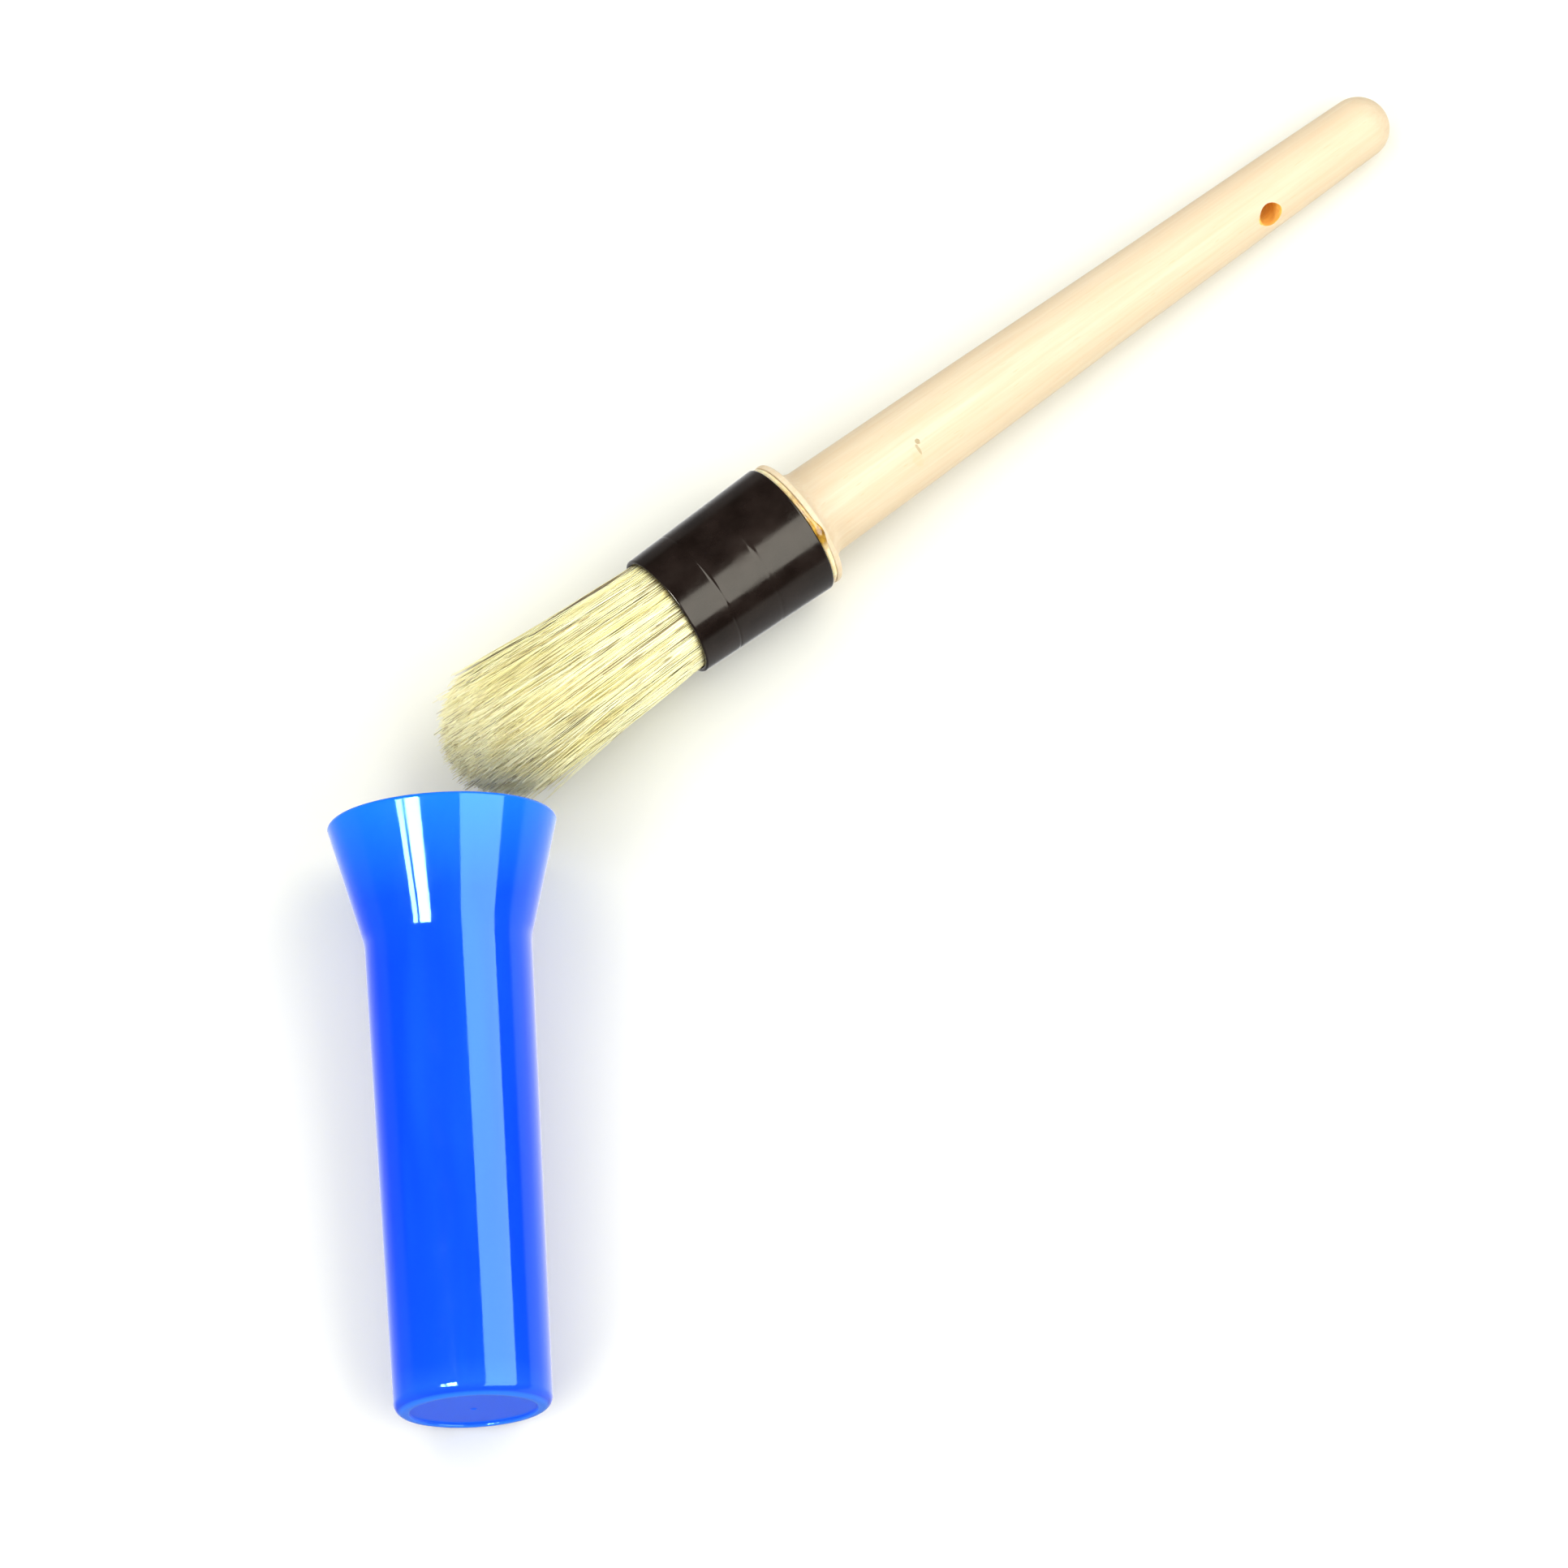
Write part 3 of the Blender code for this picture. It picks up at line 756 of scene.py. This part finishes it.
def cap_profile():
    """Gate dimple, recessed panel, foot ring, rounded edge, tube, flare, rounded mouth, and back down inside."""
    throat = CAP_LENGTH - CAP_FLARE
    slope = (CAP_MOUTH_R - CAP_THROAT_R) / CAP_FLARE
    bend = 1.4 * MM
    step = 0.25 * MM
    gate = ((0.0, 0.40), (0.35, 0.34), (0.55, 0.05), (0.75, -0.06), (1.0, 0.0))
    profile = [(r * MM, PANEL_DEPTH + z * MM) for r, z in gate]
    profile += arc(PANEL_R - step, PANEL_DEPTH - step, step, 90, 0, 5)
    profile += arc(PANEL_R + step, step, step, 180, 270, 5)
    profile += arc(CAP_FOOT_R - CAP_EDGE, CAP_EDGE, CAP_EDGE, -90, 0, 14)
    tube_r, steps = cap_outer(throat - bend), 6
    profile += [(tube_r, throat - bend)]
    for i in range(1, steps):
        s = i / steps
        along = 2 * bend * s
        kink = 0.5 * slope * (2 * bend) * s * s
        profile.append((tube_r + kink + TUBE_DRAFT * along * (1 - s), throat - bend + along))
    profile += [(CAP_THROAT_R + slope * bend, throat + bend)]
    lip = 0.42 * CAP_WALL
    profile += arc(CAP_MOUTH_R - lip, CAP_LENGTH - lip, lip, 0, 180, 14)
    profile += [
        (CAP_THROAT_R - CAP_WALL + slope * bend, throat + bend),
        (cap_outer(throat) - CAP_WALL + 0.3 * slope * bend, throat),
        (tube_r - CAP_WALL, throat - bend),
    ]
    corner = 1.5 * MM
    profile += arc(cap_outer(0.0) - CAP_WALL - corner, CAP_FLOOR + corner, corner, 0, -90, 8)
    return fine(profile + [(0.0, CAP_FLOOR)], 2.5 * MM)


def cap_shell():
    piece = turned("cap_shell", cap_profile(), CAP, CAP_SEGMENTS, closed=False)
    dress(piece, cap_material())
    return piece


# ---------------------------------------------------------------- stage

CAMERA_AZIMUTH = math.radians(-3.35)
CAMERA_ELEVATION = math.radians(71.0)
CAMERA_DISTANCE = 3.5
CAMERA_TARGET = Vector((-0.0193, -0.0063, 0.012))
VIEW_WIDTH = 0.3073  # what the picture's width covers at the target
FLOOR_HALF = 5.0
FLOOR_DROP = 0.05 * MM  # keeps the floor clear of what lies on it


def camera():
    data = bpy.data.cameras.new("camera")
    data.sensor_width = 36.0
    data.lens = data.sensor_width * CAMERA_DISTANCE / VIEW_WIDTH
    data.clip_start, data.clip_end = 0.1, 50.0
    made = bpy.data.objects.new("camera", data)
    bpy.context.scene.collection.objects.link(made)
    flat = math.cos(CAMERA_ELEVATION)
    back = Vector((math.sin(CAMERA_AZIMUTH) * flat, -math.cos(CAMERA_AZIMUTH) * flat, math.sin(CAMERA_ELEVATION)))
    made.location = CAMERA_TARGET + back * CAMERA_DISTANCE
    made.rotation_euler = (-back).to_track_quat("-Z", "Y").to_euler()
    bpy.context.scene.camera = made


def floor():
    mesh = bpy.data.meshes.new("floor")
    corners = [(x * FLOOR_HALF, y * FLOOR_HALF, 0) for x, y in ((-1, -1), (1, -1), (1, 1), (-1, 1))]
    mesh.from_pydata(corners, [], [(0, 1, 2, 3)])
    piece = link("floor", mesh, Matrix.Translation((0.0, 0.0, -FLOOR_DROP)))
    n = Nodes("paper_floor")
    n.principled(Base_Color=(0.76, 0.758, 0.685), Roughness=0.9)
    n.shader.inputs["Specular IOR Level"].default_value = 0.1
    dress(piece, n)
    piece.visible_glossy = False


def tuft_light(strands):
    """A soft light for the bristles alone: the cap's mouth, close in front of them, would shade their tips."""
    place, aim, warm = (-0.70, -1.15, 0.65), (-0.08, 0.0, 0.02), (1.0, 0.97, 0.84)
    made = area_light("tuft_light", place, (1.0, 1.0), 2.5, glossy=False, aim=aim, colour=warm)
    lit = bpy.data.collections.new("tuft_light_objects")
    for piece in strands:
        lit.objects.link(piece)
    made.light_linking.receiver_collection = lit
    made.light_linking.blocker_collection = lit


def area_light(name, centre, size, radiance, glossy=True, diffuse=True, aim=None, colour=(1.0, 1.0, 1.0)):
    """A rectangular light of even brightness. It faces straight down unless it is given a point to aim at."""
    data = bpy.data.lights.new(name, "AREA")
    data.shape = "RECTANGLE"
    data.size, data.size_y = size
    data.energy = radiance * math.pi * size[0] * size[1]
    data.color = colour
    made = bpy.data.objects.new(name, data)
    bpy.context.scene.collection.objects.link(made)
    made.location = centre
    if aim is not None:
        made.rotation_euler = (Vector(aim) - Vector(centre)).to_track_quat("-Z", "Y").to_euler()
    made.visible_glossy = glossy
    made.visible_diffuse = diffuse
    made.visible_camera = False
    return made


def lights():
    """Broad soft lights for the colour, and lights that only show as reflections in the plastic and lacquer."""
    middle = (0.0, 0.0, 0.0)
    area_light("key", (1.175, -0.05, 1.0), (1.85, 2.0), 2.1, glossy=False)
    area_light("key_gloss", (1.175, -0.05, 0.97), (1.85, 2.0), 7.0, diffuse=False)
    area_light("fill_left", (-0.9, 1.1, 1.5), (1.2, 1.2), 2.9, glossy=False, aim=middle)
    area_light("fill_front", (-1.15, -0.8, 0.9), (1.3, 1.1), 4.6, glossy=False, aim=middle)
    area_light("fill_right", (1.0, -1.2, 0.8), (1.2, 1.0), 2.4, glossy=False, aim=middle)
    area_light("overhead", (0.0, 0.0, 2.4), (4.5, 4.5), 1.0, glossy=False)
    area_light("strip_narrow", (-0.985, -0.29, 1.0), (0.18, 0.52), 45.0, diffuse=False)
    area_light("strip_wide", (-0.640, -0.29, 1.0), (0.33, 0.52), 60.0, diffuse=False)
    studio()


def studio():
    """A dark room above the table; below, the pale table as polished surfaces mirror it, brighter to the right."""
    world = bpy.data.worlds.new("studio")
    world.use_nodes = True
    tree = world.node_tree
    split = tree.nodes.new("ShaderNodeSeparateXYZ")
    tree.links.new(tree.nodes.new("ShaderNodeTexCoord").outputs["Generated"], split.inputs[0])

    def mapped(axis, start, end, low, high):
        node = tree.nodes.new("ShaderNodeMapRange")
        for name, value in (("From Min", start), ("From Max", end), ("To Min", low), ("To Max", high)):
            node.inputs[name].default_value = value
        tree.links.new(split.outputs[axis], node.inputs["Value"])
        return node.outputs["Result"]

    def product_plus(a, b, c):
        node = tree.nodes.new("ShaderNodeMath")
        node.operation = "MULTIPLY_ADD"
        for socket, value in zip(node.inputs, (a, b, c)):
            if isinstance(value, bpy.types.NodeSocket):
                tree.links.new(value, socket)
            else:
                socket.default_value = value
        return node.outputs[0]

    table = product_plus(mapped("X", 0.1, 0.8, 0.20, 0.90), mapped("Z", 0.0, -0.12, 0.0, 1.0), 0.05)
    ahead = product_plus(mapped("Y", -0.05, 0.25, 0.0, 0.85), 1.0, 0.0)
    straight_down = product_plus(mapped("Z", -0.45, -0.90, 0.0, 1.0), ahead, table)
    background = tree.nodes["Background"]
    tree.links.new(straight_down, background.inputs["Strength"])
    background.inputs["Color"].default_value = (1.0, 1.0, 1.0, 1.0)
    bpy.context.scene.world = world


# ---------------------------------------------------------------- the model


def stand_for(piece, body, slot, *nodes):
    """The piece rides on the body and stands for the CAD nodes, if any are named; the slot is not used."""
    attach(piece, body)
    if nodes:
        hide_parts(*nodes)


def main():
    bpy.context.scene.view_settings.view_transform = "Standard"
    stand_for(handle_wood(), "brush", "wood", "handle")
    stand_for(ferrule_sleeve(), "brush", "ferrule_black", "ferrule")
    stand_for(glue_ring(), "brush", "glue_amber", "glue_bead")
    core, strands = bristle_core(), bristles()
    stand_for(core, "brush", "bristle")
    for layer, piece in enumerate(strands):
        stand_for(piece, "brush", "bristle", *(["bristle_tuft"] if layer == 0 else []))
    stand_for(cap_shell(), "cap", "cap_blue", "cap")
    resin = inner_material("cured_resin", (0.25, 0.14, 0.05), (0.42, 0.26, 0.10), 400.0)
    dowel = inner_material("raw_dowel", (0.50, 0.36, 0.20), (0.62, 0.47, 0.29), 900.0)
    dress(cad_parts["bristle_setting"], resin)
    dress(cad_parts["core_plug"], dowel)
    floor()
    lights()
    tuft_light([core, *strands])
    camera()


main()
